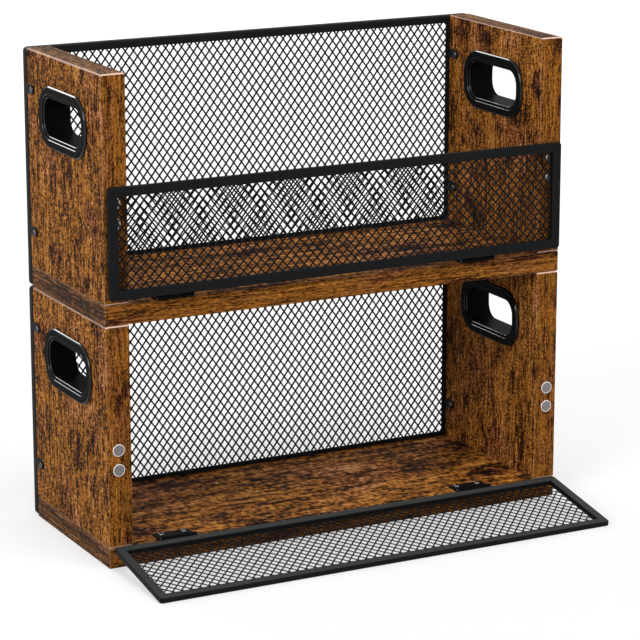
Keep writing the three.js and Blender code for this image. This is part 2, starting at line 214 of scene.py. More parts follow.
# %% Print the wood
PRINT = {  # width and length in millimetres, and how strongly it shows
    "cloud": (10, 60, 0.42),
    "band": (1.5, 40, 0.75),
    "speck": (1.3, 2.0, 1.20),
}
DARKER = {  # width, length, detail, the noise where it starts and where it is full, and its depth
    "pore": (1.4, 9, 2.0, 0.50, 0.38, 0.26),
    "patch": (9, 36, 4.0, 0.56, 0.66, 0.25),
}
PRINT_MIDDLE, NOISE_MIDDLE = 0.57, 0.5
CALM_TONE, CALM_SHARE = 0.48, 0.32
WANDER = 0.05  # how far the spots' outlines wander


def stretched_noise(tree, grain, width, length, detail):
    """Noise with spots of that width and length in millimetres."""
    stretch = (1 / (width * MM), 1 / (width * MM), 1 / (length * MM))
    place = add(tree, "ShaderNodeVectorMath", {0: grain, 1: stretch}, operation="MULTIPLY")
    settings = {"Vector": place, "Scale": 1.0, "Detail": detail, "Distortion": WANDER}
    return add(tree, "ShaderNodeTexNoise", settings)


def printed_tone(tree, grain, faces):
    """How light the print is, from 0 to 1, and how much of it is a dark patch."""
    tone = PRINT_MIDDLE
    for width, length, strength in PRINT.values():
        noise = stretched_noise(tree, grain, width, length, detail=1.0)
        swing = add(tree, "ShaderNodeMath", {0: noise, 1: NOISE_MIDDLE}, operation="SUBTRACT")
        tone = add(tree, "ShaderNodeMath", {0: swing, 1: strength, 2: tone}, operation="MULTIPLY_ADD")
    marks = {}
    for kind, (width, length, detail, start, full, depth) in DARKER.items():
        noise = stretched_noise(tree, grain, width, length, detail)
        reach = {"Value": noise, "From Min": start, "From Max": full, "To Max": depth}
        marks[kind] = add(tree, "ShaderNodeMapRange", reach)
        tone = add(tree, "ShaderNodeMath", {0: tone, 1: marks[kind]}, operation="SUBTRACT")
    calm = add(tree, "ShaderNodeMath", {0: faces["Y"], 1: CALM_SHARE}, operation="MULTIPLY")
    calmed = add(tree, "ShaderNodeMix", {"Factor": calm, NUMBER_A: tone, NUMBER_B: CALM_TONE})
    return calmed, marks["patch"]


print("the print has", len(PRINT), "sizes of noise, pores and dark patches")

# %% [markdown]
# The tone picks a colour from a ramp. There are two ramps, a golden one and a redder one, and a slow
# noise and the dark patches choose between them. The ends are greyer and darker, partly the banding's
# own print and partly painted sheen and shade on the panels' tops. Each rounded edge gets a paler line,
# a painted highlight, broken where the print is dark; the top edges of a panel get the palest one,
# brightest at front and rear. A rounded edge is where the normal lies along no single axis.

# %% Colour the print
GOLDEN = [  # tone, and its colour
    (0.10, "#140C07"),
    (0.32, "#3F2610"),
    (0.50, "#7C4C1B"),
    (0.68, "#A46727"),
    (0.90, "#CA9049"),
]
REDDISH = [
    (0.10, "#170A08"),
    (0.32, "#3B1E12"),
    (0.50, "#6E3F20"),
    (0.68, "#9A5F39"),
    (0.90, "#C89272"),
]
RED_WIDTH, RED_LENGTH = 22, 55
RED_START, RED_FULL, RED_SHARE, RED_IN_PATCH = 0.50, 0.66, 0.60, 2.5
# Greyer, darker ends: partly the banding's own print, partly painted sheen and shade on the tops
END_GREY_AND_SHEEN, END_GREY_AND_SHEEN_SHARE = "#3E332C", 0.55
# Painted highlight: a paler line along every rounded edge of the boards
EDGE_HIGHLIGHT, EDGE_HIGHLIGHT_START, EDGE_HIGHLIGHT_FULL = "#B0917C", 0.93, 0.78
# A darker print breaks the painted edge highlight
DARK_PRINT_BREAKS_HIGHLIGHT = {"From Min": 0.35, "From Max": 0.65, "To Min": 0.10, "To Max": 0.55}
# The palest painted highlight, on a side panel's top edges, strongest at its front and rear
TOP_EDGE_HIGHLIGHT, TOP_EDGE_HIGHLIGHT_RISE = "#F0CDBB", 0.2
TOP_EDGE_HIGHLIGHT_EDGES = {"X": (0.28, 0.38), "Y": (0.10, 0.95)}  # where it starts to show, and how much


def foil_colour(tree, grain, tone, patch, is_end):
    """The printed colour, golden or redder, and greyer on a board's ends, partly painted sheen and shade.
    """
    golden = add(tree, "ShaderNodeValToRGB", {0: tone}, GOLDEN)
    reddish = add(tree, "ShaderNodeValToRGB", {0: tone}, REDDISH)
    slow = stretched_noise(tree, grain, RED_WIDTH, RED_LENGTH, detail=1.0)
    reach = {"Value": slow, "From Min": RED_START, "From Max": RED_FULL, "To Max": RED_SHARE}
    red = add(tree, "ShaderNodeMapRange", reach)
    share = add(tree, "ShaderNodeMath", {0: patch, 1: RED_IN_PATCH, 2: red}, operation="MULTIPLY_ADD")
    both = {"Factor": share, COLOUR_A: golden, COLOUR_B: reddish}
    printed = add(tree, "ShaderNodeMix", both, data_type="RGBA").outputs[MIXED_COLOUR]
    both = {"Factor": END_GREY_AND_SHEEN_SHARE, COLOUR_A: printed, COLOUR_B: linear(END_GREY_AND_SHEEN)}
    greyed_with_painted_sheen = add(tree, "ShaderNodeMix", both, data_type="RGBA").outputs[MIXED_COLOUR]
    both = {"Factor": is_end, COLOUR_A: printed, COLOUR_B: greyed_with_painted_sheen}
    return add(tree, "ShaderNodeMix", both, data_type="RGBA").outputs[MIXED_COLOUR]


def painted_edge_highlights(tree, faces, colour, tone):
    """The colour with painted highlights on the rounded edges, without and with the palest on the top
    edges.
    """
    upright = add(tree, "ShaderNodeMath", {0: faces["X"], 1: faces["Y"]}, operation="MAXIMUM")
    highest = add(tree, "ShaderNodeMath", {0: upright, 1: faces["Z"]}, operation="MAXIMUM")
    reach = {"Value": highest, "From Min": EDGE_HIGHLIGHT_START, "From Max": EDGE_HIGHLIGHT_FULL}
    edge = add(tree, "ShaderNodeMapRange", reach)
    highlight_kept = add(tree, "ShaderNodeMapRange", {"Value": tone, **DARK_PRINT_BREAKS_HIGHLIGHT})
    edge_highlight_mask = add(tree, "ShaderNodeMath", {0: edge, 1: highlight_kept}, operation="MULTIPLY")
    both = {"Factor": edge_highlight_mask, COLOUR_A: colour, COLOUR_B: linear(EDGE_HIGHLIGHT)}
    with_edge_highlight = add(tree, "ShaderNodeMix", both, data_type="RGBA").outputs[MIXED_COLOUR]
    # The short edges at a panel's front and rear face along Y and Z at once, the long ones along X and Z
    shown = with_edge_highlight
    for side_axis, (start, share) in TOP_EDGE_HIGHLIGHT_EDGES.items():
        corner = add(tree, "ShaderNodeMath", {0: faces[side_axis], 1: faces["Z"]}, operation="MULTIPLY")
        reach = {"Value": corner, "From Min": start, "From Max": start + TOP_EDGE_HIGHLIGHT_RISE, "To Max": share}
        cut = add(tree, "ShaderNodeMapRange", reach)
        both = {"Factor": cut, COLOUR_A: shown, COLOUR_B: linear(TOP_EDGE_HIGHLIGHT)}
        shown = add(tree, "ShaderNodeMix", both, data_type="RGBA").outputs[MIXED_COLOUR]
    return with_edge_highlight, shown


print("ramps:", len(GOLDEN), "golden and", len(REDDISH), "reddish browns")

# %% [markdown]
# Melamine has an IOR near 1.5, but the pressed grain scatters most of its shine. So the specular level
# is low and the roughness high, and the dark specks, which lie a little lower, are rougher still. Side
# panels have their grain upright, and the bottom board has it level.

# %% Make the two board materials
MELAMINE_IOR, MELAMINE_SPECULAR = 1.5, 0.02
PRESSED = {"Strength": 0.35, "Distance": 0.2 * MM}
MELAMINE_GLOSS = {"From Min": 0.2, "From Max": 0.8, "To Min": 0.60, "To Max": 0.46}


def board_material(name, grain_axis):
    """Printed melamine on a board whose grain runs along that axis."""
    material, tree = new_material(name)
    grain, faces, is_end = along_the_grain(tree, grain_axis)
    tone, patch = printed_tone(tree, grain, faces)
    foil = foil_colour(tree, grain, tone, patch, is_end)
    # Painted highlights on the rounded edges; the second colour also has the palest on the top edges
    with_edge_highlight, cut = painted_edge_highlights(tree, faces, foil, tone)
    skin = {
        "Base Color": cut if grain_axis == "Z" else with_edge_highlight,
        "Roughness": add(tree, "ShaderNodeMapRange", {"Value": tone, **MELAMINE_GLOSS}),
        "IOR": MELAMINE_IOR,
        "Specular IOR Level": MELAMINE_SPECULAR,
        "Normal": add(tree, "ShaderNodeBump", {"Height": tone, **PRESSED}),
    }
    shader = add(tree, "ShaderNodeBsdfPrincipled", skin)
    add(tree, "ShaderNodeOutputMaterial", {"Surface": shader})
    return material


upright_board = board_material("melamine particle board, grain upright", "Z")
level_board = board_material("melamine particle board, grain level", "X")
print("board materials:", upright_board.name, "/", level_board.name)

# %% [markdown]
# ## Powder-coated steel
# The frames and the mesh are mild steel, sprayed with black powder and baked. The coat is matt, with
# the fine orange-peel skin of melted powder: bumps about a millimetre wide and hardly any height. The
# door's inner side gets a greyer copy of the coat, a painted sheen for the open door that faces up.

# %% Make the coated steel
COAT_IOR, PEEL_RELIEF = 1.5, 0.5
PEEL_SHADE, PEEL_GLOSS = 0.25, 0.06


def even_noise(tree, width, detail):
    """Noise all over a piece, with spots of that width in millimetres."""
    spot = add(tree, "ShaderNodeTexCoord").outputs["Object"]
    return add(tree, "ShaderNodeTexNoise", {"Vector": spot, "Scale": 1 / (width * MM), "Detail": detail})


def coated_steel(name, code, roughness, specular, bump_width, bump_height):
    """A powder coat whose orange peel is that wide and high, in millimetres."""
    material, tree = new_material(name)
    peel = even_noise(tree, bump_width, detail=2.0)
    reach = {"Value": peel, "To Min": 1 - PEEL_SHADE, "To Max": 1 + PEEL_SHADE}
    shade = add(tree, "ShaderNodeMapRange", reach)
    reach = {"Value": peel, "To Min": roughness - PEEL_GLOSS, "To Max": roughness + PEEL_GLOSS}
    raised = {"Height": peel, "Strength": PEEL_RELIEF, "Distance": bump_height * MM}
    colour = {0: linear(code)[:3], "Scale": shade}
    skin = {
        "Base Color": add(tree, "ShaderNodeVectorMath", colour, operation="SCALE"),
        "Roughness": add(tree, "ShaderNodeMapRange", reach),
        "IOR": COAT_IOR,
        "Specular IOR Level": specular,
        "Normal": add(tree, "ShaderNodeBump", raised),
    }
    shader = add(tree, "ShaderNodeBsdfPrincipled", skin)
    add(tree, "ShaderNodeOutputMaterial", {"Surface": shader})
    return material


frame_coat = coated_steel("powder-coated steel frame", "#1A1B1C", 0.50, 0.03, 1.2, 0.05)
# A greyer copy of the frame's coat: painted sheen on the door's inner side, which faces up when open
inner_side_sheen_coat = coated_steel("powder-coated steel frame, inner side", "#383A3A", 0.55, 0.04, 1.2, 0.05)
mesh_coat = coated_steel("powder-coated steel mesh", "#111112", 0.50, 0.05, 0.8, 0.03)
hinge_coat = coated_steel("painted steel hinge", "#0C0C0D", 0.50, 0.02, 0.9, 0.02)
print("coats:", frame_coat.name, "/", inner_side_sheen_coat.name, "/", mesh_coat.name, "/", hinge_coat.name)

# %% [markdown]
# ## Moulded plastic
# The handle bezels are ABS, moulded in black. Spark erosion of the mould leaves their broad faces matt
# and very dark, with a fine, even texture. It is about a tenth of a millimetre wide and is drawn four
# times as coarse, so that it shows. The narrow rounded rims come from a polished part of the mould, so
# they are as shiny as ABS can be, and light from above draws thin white lines along them.

# %% Make the bezels' two finishes
ABS_IOR = 1.53
SPARK_WIDTH, SPARK_RELIEF, SPARK_GLOSS = 0.4, 0.3, 0.05


def moulded_abs(name, code, roughness, specular, texture_height):
    """Moulded plastic whose texture has that height in millimetres."""
    material, tree = new_material(name)
    spark = even_noise(tree, SPARK_WIDTH, detail=1.0)
    reach = {"Value": spark, "To Min": roughness - SPARK_GLOSS, "To Max": roughness + SPARK_GLOSS}
    raised = {"Height": spark, "Strength": SPARK_RELIEF, "Distance": texture_height * MM}
    skin = {
        "Base Color": linear(code),
        "Roughness": add(tree, "ShaderNodeMapRange", reach),
        "IOR": ABS_IOR,
        "Specular IOR Level": specular,
        "Normal": add(tree, "ShaderNodeBump", raised),
    }
    shader = add(tree, "ShaderNodeBsdfPrincipled", skin)
    add(tree, "ShaderNodeOutputMaterial", {"Surface": shader})
    return material


textured_abs = moulded_abs("moulded ABS, spark-eroded", "#0B0C0D", 0.45, 0.01, 0.02)
polished_abs = moulded_abs("moulded ABS, polished", "#0C0C0D", 0.14, 0.25, 0.001)
print("plastics:", textured_abs.name, "/", polished_abs.name)

# %% [markdown]
# ## Plated metals
# The screws, bolts and hinge pins are black oxide steel: dark, with small bright glints from the lamps.
# The magnets sit in nickel-plated cups; the cup's lip is a lighter copy of the plating, a painted
# highlight, and the magnet's face a darker one, a painted shade. Metals differ in colour and roughness
# alone, so one function makes them all. Turning on a lathe and tumbling leave faint marks, which a fine
# noise draws in the roughness.

# %% Make the metals
MARK_GLOSS = 0.3


def plated_metal(name, code, roughness, mark_width):
    """A bare or plated metal with faint marks of that width in millimetres."""
    material, tree = new_material(name)
    reach = {"To Min": roughness * (1 - MARK_GLOSS), "To Max": roughness * (1 + MARK_GLOSS)}
    marks = even_noise(tree, mark_width, detail=3.0)
    gloss = add(tree, "ShaderNodeMapRange", {"Value": marks, **reach})
    metal = {"Base Color": linear(code), "Metallic": 1.0, "Roughness": gloss}
    shader = add(tree, "ShaderNodeBsdfPrincipled", metal)
    add(tree, "ShaderNodeOutputMaterial", {"Surface": shader})
    return material


screw_oxide = plated_metal("black-oxide steel screw", "#6A6A6D", 0.18, 1.5)
bolt_oxide = plated_metal("black-oxide steel bolt", "#545456", 0.20, 1.5)
# The cup's lip is lightened and the face darkened: painted highlight and painted shade
magnet_rim_painted_highlight = plated_metal("nickel-plated magnet cup", "#DCD5D1", 0.24, 2.0)
magnet_face_painted_shade = plated_metal("magnet face, darkened as painted shade", "#7E7B7A", 0.50, 0.7)
print("metals:", screw_oxide.name, "/", bolt_oxide.name, "/", magnet_rim_painted_highlight.name, "/", magnet_face_painted_shade.name)

# %% [markdown]
# ## Shapes from layers
# Nearly every piece here is a closed outline carried through some depth: a board, a pressed tray, a
# stepped bezel, a screw head. So one function makes them all. It takes layers, each an outline with
# as many points as the others and a depth, and lays a skin through them. A ring joins its last layer
# to its first and needs no caps, which is how a frame with a window is made.

# %% Outlines and lofts
CORNER_STEPS = 6
EDGE_STEPS = 3
WELD = 0.002 * MM


def rounded(middle_u, middle_v, half_u, half_v, radius, steps=CORNER_STEPS):
    """The outline of a rounded rectangle, counter-clockwise from the end of its right side."""
    points = []
    for quarter in range(4):
        side_u = 1 if quarter in (0, 3) else -1
        side_v = 1 if quarter in (0, 1) else -1
        for step in range(steps + 1):
            angle = math.radians(90 * (quarter + step / steps))
            u = middle_u + side_u * (half_u - radius) + radius * math.cos(angle)
            v = middle_v + side_v * (half_v - radius) + radius * math.sin(angle)
            points.append((u, v))
    return points


def circle(middle_u, middle_v, radius, sides=32):
    """The outline of a circle, counter-clockwise from its right."""
    turns = [2 * math.pi * step / sides for step in range(sides)]
    return [(middle_u + radius * math.cos(a), middle_v + radius * math.sin(a)) for a in turns]


def across_x(u, v, w):
    """A piece that is thick along X has its outline in Y and Z."""
    return Vector((w, u, v))


def across_y(u, v, w):
    """A piece that is thick along Y has its outline in X and Z."""
    return Vector((u, w, v))


def across_z(u, v, w):
    """A piece that is thick along Z has its outline in X and Y."""
    return Vector((u, v, w))


def skin_over(rows, ring=False):
    """A skin through rows of points in millimetres, as a mesh in metres."""
    mesh = bmesh.new()
    rows = [[mesh.verts.new(point * MM) for point in row] for row in rows]
    pairs = list(zip(rows, rows[1:]))
    if ring:
        pairs.append((rows[-1], rows[0]))
    else:
        mesh.faces.new(rows[0])
        mesh.faces.new(rows[-1])
    for one, other in pairs:
        for i in range(len(one)):
            mesh.faces.new((one[i - 1], one[i], other[i], other[i - 1]))
    bmesh.ops.remove_doubles(mesh, verts=mesh.verts, dist=WELD)
    bmesh.ops.recalc_face_normals(mesh, faces=mesh.faces)
    return mesh


def loft(layers, place, ring=False):
    """A skin through layers of (outline, depth)."""
    return skin_over([[place(u, v, depth) for u, v in outline] for outline, depth in layers], ring)


def eased(outline_at, low, high, ease):
    """Layers of a plate from one depth to another, its edges rounded; outline_at takes an inset."""
    turns = [math.radians(90 * step / EDGE_STEPS) for step in range(EDGE_STEPS + 1)]
    start = [(outline_at(ease * (1 - math.sin(a))), low + ease * (1 - math.cos(a))) for a in turns]
    end = [(outline, low + high - depth) for outline, depth in reversed(start)]
    return start + end


def joined(*meshes):
    """Several closed skins as one mesh."""
    whole = bmesh.new()
    for mesh in meshes:
        data = bpy.data.meshes.new("part of a piece")
        mesh.to_mesh(data)
        mesh.free()
        whole.from_mesh(data)
        bpy.data.meshes.remove(data)
    return whole


print("an outline has", len(rounded(0, 0, 2, 1, 0.5)), "points")

# %% [markdown]
# ## Where each piece belongs
# Both crates are the same, so each piece is drawn once, in the lower crate's place and with its door
# shut, and then moved: up by a crate's height for the upper one, and round the hinge pin for the door
# that lies open. The record's joint says where the pin is and how far that door is open.
#
# Every piece is shaded smooth, but its sharp edges stay sharp. Its normals are weighted by the faces'
# areas, so that light rolls over a small rounded edge and the broad face beside it stays flat.

# %% Sizes of a crate, and a function that keeps each piece
CRATE_WIDTH, CRATE_DEPTH, CRATE_HEIGHT = 480, 175, 230
BOARD, PANEL = 20, 24
FRONT, BACK = -CRATE_DEPTH / 2, CRATE_DEPTH / 2
SIDE = CRATE_WIDTH / 2
INNER = SIDE - PANEL

lower_joint = next(joint for joint in frame["joints"] if joint["name"] == "lower_door_hinge")
pin_place = Vector(lower_joint["pos_m"])
open_angle = math.radians(-lower_joint["range_deg"][0])
lift = Matrix.Translation((0, 0, CRATE_HEIGHT * MM))
swing_open = Matrix.Translation(pin_place) @ Matrix.Rotation(open_angle, 4, "X")
swing_open = swing_open @ Matrix.Translation(-pin_place)
PLACES = {
    ("lower", "crate"): Matrix.Identity(4),
    ("lower", "door"): swing_open,
    ("upper", "crate"): lift,
    ("upper", "door"): lift,
}
SHARP_ANGLE = math.radians(50)


def new_object(name, mesh):
    """A drawn mesh as an object in the scene."""
    data = bpy.data.meshes.new(name)
    mesh.to_mesh(data)
    mesh.free()
    made = bpy.data.objects.new(name, data)
    bpy.context.scene.collection.objects.link(made)
    return made


def keep_piece(mesh, level, part, name, node, material, slot):
    """Puts a drawn mesh in its place, dresses it, and lets it ride on its body for that node."""
    mesh.transform(PLACES[level, part])
    piece = new_object(f"{level}_{name}", mesh)
    piece.data.materials.append(material)
    piece.data.shade_smooth()
    piece.data.set_sharp_from_angle(angle=SHARP_ANGLE)
    flat = piece.modifiers.new("flat faces keep their normals", "WEIGHTED_NORMAL")
    flat.keep_sharp = True
    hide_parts(f"{level}_{node}")
    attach(piece, f"{level}_{part}")
    return piece


LEVELS = ("lower", "upper")
HANDS = (("left", -1), ("right", 1))  # name, and which way along X
print("the lower door is open by", round(math.degrees(open_angle), 2), "degrees")

# %% [markdown]
# ## Boards
# The foil is folded over the boards' long edges, so they are a little rounded, and light catches them.
# A side panel is a plate with the handle hole through it. Its skin goes round the outside and back
# through the hole, so it is a ring. Its outer top edge, which a hand meets first, is rounded most. The
# bottom board is the same plate without a hole, and without that edge.

# %% Make the boards
BOARD_EASE, TOP_EASE, TOP_STEPS = 1.4, 2.8, 6
HANDLE_LONG, HANDLE_TALL, HANDLE_RADIUS, HANDLE_DROP = 88, 36, 14, 57
HANDLE_Z = CRATE_HEIGHT - HANDLE_DROP
SLEEVE = 2.3


def handle_outline(grow):
    """The handle's opening in (y, z), made larger all round by the given amount."""
    half_long, half_tall = HANDLE_LONG / 2 + grow, HANDLE_TALL / 2 + grow
    return rounded(0, HANDLE_Z, half_long, half_tall, HANDLE_RADIUS + grow)


def plain_rectangle(left, right, low, high, radius=BOARD_EASE):
    """An outline that takes an inset, between four sides."""
    return lambda inset: rounded(
        (left + right) / 2,
        (low + high) / 2,
        (right - left) / 2 - inset,
        (high - low) / 2 - inset,
        max(radius - inset, 0),
    )


def panel_layers(inner, outer):
    """A side panel's layers from its inner face to its outer one, where the top is rounded most."""
    way = 1 if outer > inner else -1
    turns = [math.radians(90 * step / TOP_STEPS) for step in range(TOP_STEPS + 1)]
    layers = eased(plain_rectangle(FRONT, BACK, BOARD, CRATE_HEIGHT), 0, PANEL, BOARD_EASE)
    layers = [(outline, inner + way * depth) for outline, depth in layers[: EDGE_STEPS + 1]]
    for angle in turns:
        back_off, drop = TOP_EASE * (1 - math.sin(angle)), TOP_EASE * (1 - math.cos(angle))
        short = max(BOARD_EASE - back_off, 0)
        inset = BOARD_EASE - math.sqrt(BOARD_EASE**2 - short**2)
        top = CRATE_HEIGHT + inset - max(drop, inset)
        outline_at = plain_rectangle(FRONT, BACK, BOARD, top)
        layers.append((outline_at(inset), outer - way * back_off))
    return layers


for level in LEVELS:
    plate = loft(eased(plain_rectangle(-SIDE, SIDE, FRONT, BACK), 0, BOARD, BOARD_EASE), across_z)
    keep_piece(plate, level, "crate", "floor_board", "bottom_board", level_board, "particle_board")
    for hand, way in HANDS:
        faces = (way * INNER, way * SIDE)
        hole = [(handle_outline(SLEEVE), face) for face in reversed(faces)]
        panel = loft(panel_layers(*faces) + hole, across_x, ring=True)
        names = (f"{hand}_side_board", f"{hand}_side_panel")
        keep_piece(panel, level, "crate", *names, upright_board, "particle_board")
print("boards:", 3 * len(LEVELS), "with edges rounded by", BOARD_EASE, "mm")

# %% [markdown]
# ## Handle bezels
# Each handle hole is lined by two moulded rings, pushed in from either side. A ring has a broad flat
# flange with a soft outer edge, a step down towards the hole, and a sleeve that reaches the middle of
# the board. Read as layers, the section starts at the flange's outer edge, goes over it and the
# step, down the inside of the sleeve, and back up its outside. The narrow faces that look neither
# straight out of the board nor straight across the hole are the polished rims.

# %% Make the bezels
BEZEL_SECTION = [  # how far outside the opening, and how far out of the board
    (11.0, 0.0),
    (11.0, 1.0),
    (10.9, 1.4),
    (10.1, 2.3),
    (9.7, 2.5),
    (3.6, 2.5),
    (3.45, 2.44),
    (3.06, 2.0),
    (3.0, 1.8),
    (3.0, 1.5),
    (0.6, 1.5),
    (0.45, 1.44),
    (0.06, 1.0),
    (0.0, 0.8),
    (0.0, -11.9),
    (2.0, -11.9),
    (2.0, 0.0),
]
FLAT, ACROSS = 0.98, 0.02


def polish_rims(mesh):
    """Gives the second finish to the narrow rims, which face neither along X nor right across it."""
    for face in mesh.faces:
        if ACROSS < abs(face.normal.x) < FLAT:
            face.material_index = 1


for level in LEVELS:
    for hand, way in HANDS:
        for facing, face, outwards in (("outer", SIDE, 1), ("inner", INNER, -1)):
            section = [
                (handle_outline(grow), way * (face + outwards * height)) for grow, height in BEZEL_SECTION
            ]
            ring = loft(section, across_x, ring=True)
            polish_rims(ring)
            names = (f"{hand}_{facing}_handle_ring", f"{hand}_handle_{facing}_bezel")
            ring = keep_piece(ring, level, "crate", *names, textured_abs, "handle_plastic")
            ring.data.materials.append(polished_abs)
print("bezels:", 4 * len(LEVELS), "each of", len(BEZEL_SECTION), "layers")

# %% [markdown]
# ## Back frame
# The back frame is pressed from one steel sheet: a flat face with a window, and a rim folded back all
# round, with a real bend between them. Read as layers, it goes round the bend and back along the rim's
# outside, returns along its inside, crosses the rear of the flat face, and comes forward through the
# window. The ring then closes over the front.

# %% Press the tray
SHEET, FRAME_DEEP, FRAME_GAP, FRAME_RADIUS = 1.5, 9, 0.5, 4
BEND, BEND_STEPS, RIM_EASE = 2.2, 4, 0.35
WINDOW_LAP, WINDOW_DROP, WINDOW_RADIUS = 4, 8, 1.0
WINDOW_SIDE, WINDOW_LOW, WINDOW_HIGH = INNER - WINDOW_LAP, BOARD + WINDOW_LAP, CRATE_HEIGHT - WINDOW_DROP

tray = plain_rectangle(-SIDE, SIDE, FRAME_GAP, CRATE_HEIGHT - FRAME_GAP, FRAME_RADIUS)
window = plain_rectangle(-WINDOW_SIDE, WINDOW_SIDE, WINDOW_LOW, WINDOW_HIGH, WINDOW_RADIUS)
rim_end = BACK + FRAME_DEEP


def bend(radius):
    """The tray's layers round its bend, from the flat face to the rim, on one face of the sheet."""
    turns = [math.radians(90 * step / BEND_STEPS) for step in range(BEND_STEPS + 1)]
    return [(tray(BEND - radius * math.sin(a)), BACK + BEND - radius * math.cos(a)) for a in turns]


tray_layers = [
    *bend(BEND),
    (tray(0), rim_end - RIM_EASE),
    (tray(RIM_EASE), rim_end),
    (tray(SHEET - RIM_EASE), rim_end),
    (tray(SHEET), rim_end - RIM_EASE),
    *reversed(bend(BEND - SHEET)),
    (window(-RIM_EASE), BACK + SHEET),
    (window(0), BACK + SHEET - RIM_EASE),
    (window(0), BACK + RIM_EASE),
    (window(-RIM_EASE), BACK),
]
print("tray:", len(tray_layers), "layers")

# %% [markdown]
# Eight short straps reach forward from the frame, two to each place, and grip the side panel from both
# faces. Each ends in a half circle round its bolt.

# %% Make the back frames
STRAP_TALL, STRAP_REACH, STRAP_LAP, STRAP_STEPS = 8.5, 19, 3, 12
STRAP_UP, STRAP_DOWN = 36, 38
STRAP_ZS = (BOARD + STRAP_UP, CRATE_HEIGHT - STRAP_DOWN)
BOLT_Y = BACK - STRAP_REACH + STRAP_TALL / 2


def strap(one_face, other_face, z, end):
    """A strap with a round end, flat on one face of a side panel, between two places along X."""

    def outline_at(inset):
        radius = STRAP_TALL / 2 - inset
        arc = [math.radians(90 + 180 * step / STRAP_STEPS) for step in range(STRAP_STEPS + 1)]
        tip = [(BOLT_Y + radius * math.cos(a), z + radius * math.sin(a)) for a in arc]
        return [*tip, (end - inset, z - radius), (end - inset, z + radius)]

    return loft(eased(outline_at, *sorted((one_face, other_face)), RIM_EASE), across_x)


for level in LEVELS:
    straps = []
    for hand, way in HANDS:
        for z in STRAP_ZS:
            straps.append(strap(way * SIDE, way * (SIDE + SHEET), z, BACK + STRAP_LAP))
            straps.append(strap(way * INNER, way * (INNER - SHEET), z, BACK + SHEET / 2))
    steel = joined(loft(tray_layers, across_y, ring=True), *straps)
    keep_piece(steel, level, "crate", "rear_tray", "back_frame", frame_coat, "frame_steel")
print("back frames:", len(LEVELS), "with", len(straps), "straps each")

# %% [markdown]
# ## Screws and bolts
# A pan head is a low dome with a cross cut into it for the driver. The dome is turned, layer by layer,
# from a half profile. The cross is cut with a boolean: two tapered blades, taken away from the dome.
# One head is cut for each size, and every screw is a copy of it, turned and moved to its place.

# %% Turn the heads and cut their crosses
# The profile and the cross are shares of the head's radius and height
HEAD_PROFILE = [(1, 0), (1, 0.22), (0.96, 0.42), (0.86, 0.66), (0.68, 0.85), (0.42, 0.96), (0.15, 1)]
CROSS_WIDE, CROSS_LONG, CROSS_DEEP = 0.24, 1.15, 0.75
CROSS_TAPER, CROSS_ABOVE = 0.7, 1.2


def head_with_cross(radius, height, shank):
    """A pan head seated at w = 0 with its shank below, in millimetres along Z."""
    layers = [(circle(0, 0, radius * wide), height * tall) for wide, tall in reversed(HEAD_PROFILE)]
    layers += [(circle(0, 0, r), w) for r, w in shank]
    head = new_object("head", loft(layers, across_z))
    for long_u, long_v in ((CROSS_LONG, CROSS_WIDE), (CROSS_WIDE, CROSS_LONG)):
        half_u, half_v = radius * long_u / 2, radius * long_v / 2
        narrow = rounded(0, 0, half_u * CROSS_TAPER, half_v * CROSS_TAPER, 0, 1)
        blade = [
            (narrow, height * (1 - CROSS_DEEP)),
            (rounded(0, 0, half_u, half_v, 0, 1), height * CROSS_ABOVE),
        ]
        cutter = new_object("blade", loft(blade, across_z))
        cut = head.modifiers.new("cross", "BOOLEAN")
        cut.operation = "DIFFERENCE"
        cut.solver = "EXACT"
        cut.object = cutter
        bpy.context.view_layer.update()
        cut_head = head.evaluated_get(bpy.context.evaluated_depsgraph_get())
        carved = bpy.data.meshes.new_from_object(cut_head)
        head.modifiers.clear()
        head.data = carved
        bpy.data.objects.remove(cutter)
    bpy.data.objects.remove(head)
    return carved


def placed(data, place, *turns):
    """A copy of a drawn head, turned and then moved to a place in millimetres."""
    mesh = bmesh.new()
    mesh.from_mesh(data)
    for angle, axis in turns:
        mesh.transform(Matrix.Rotation(math.radians(angle), 4, axis))
    mesh.transform(Matrix.Translation(Vector(place) * MM))
    return mesh


LEAF = 1.2
SCREW_HEAD, BOLT_HEAD = (3.2, 2.0), (2.8, 1.8)  # radius and height
SCREW, SCREW_STRAIGHT, SCREW_TIP, SCREW_LONG = 1.4, 8.0, 0.2, 12.0
BOLT = 2.0
screw_shank = [(SCREW, 0), (SCREW, -SCREW_STRAIGHT), (SCREW_TIP, LEAF - SCREW_LONG)]
screw_head = head_with_cross(*SCREW_HEAD, screw_shank)
bolt_head = head_with_cross(*BOLT_HEAD, [(BOLT, 0), (BOLT, -(PANEL / 2 + SHEET))])
print("heads:", len(screw_head.polygons), "and", len(bolt_head.polygons), "faces")

# %% [markdown]
# The bolts run right through a panel and its two straps, with a head on each face. Each is drawn as
# two heads whose shanks meet in the middle of the panel. No two screws stop at the same angle when
# they are tightened, so each cross is turned a little further than the last.

# %% Place the bolts
OUTER_TURN, INNER_TURN, NEXT_TURN = 20, 55, 37

bolt_count = 0
for level in LEVELS:
    for hand, way in HANDS:
        for height, z in zip(LEVELS, STRAP_ZS):
            more = NEXT_TURN * bolt_count
            outer_seat = (way * (SIDE + SHEET), BOLT_Y, z)
            inner_seat = (way * (INNER - SHEET), BOLT_Y, z)
            bolt = joined(
                placed(bolt_head, outer_seat, (OUTER_TURN + more, "Z"), (90 * way, "Y")),
                placed(bolt_head, inner_seat, (INNER_TURN + more, "Z"), (-90 * way, "Y")),
            )
            names = (f"{hand}_{height}_strap_bolt", f"{hand}_{height}_tab_bolt")
            keep_piece(bolt, level, "crate", *names, bolt_oxide, "fastener_steel")
            bolt_count += 1
print("bolts:", bolt_count)

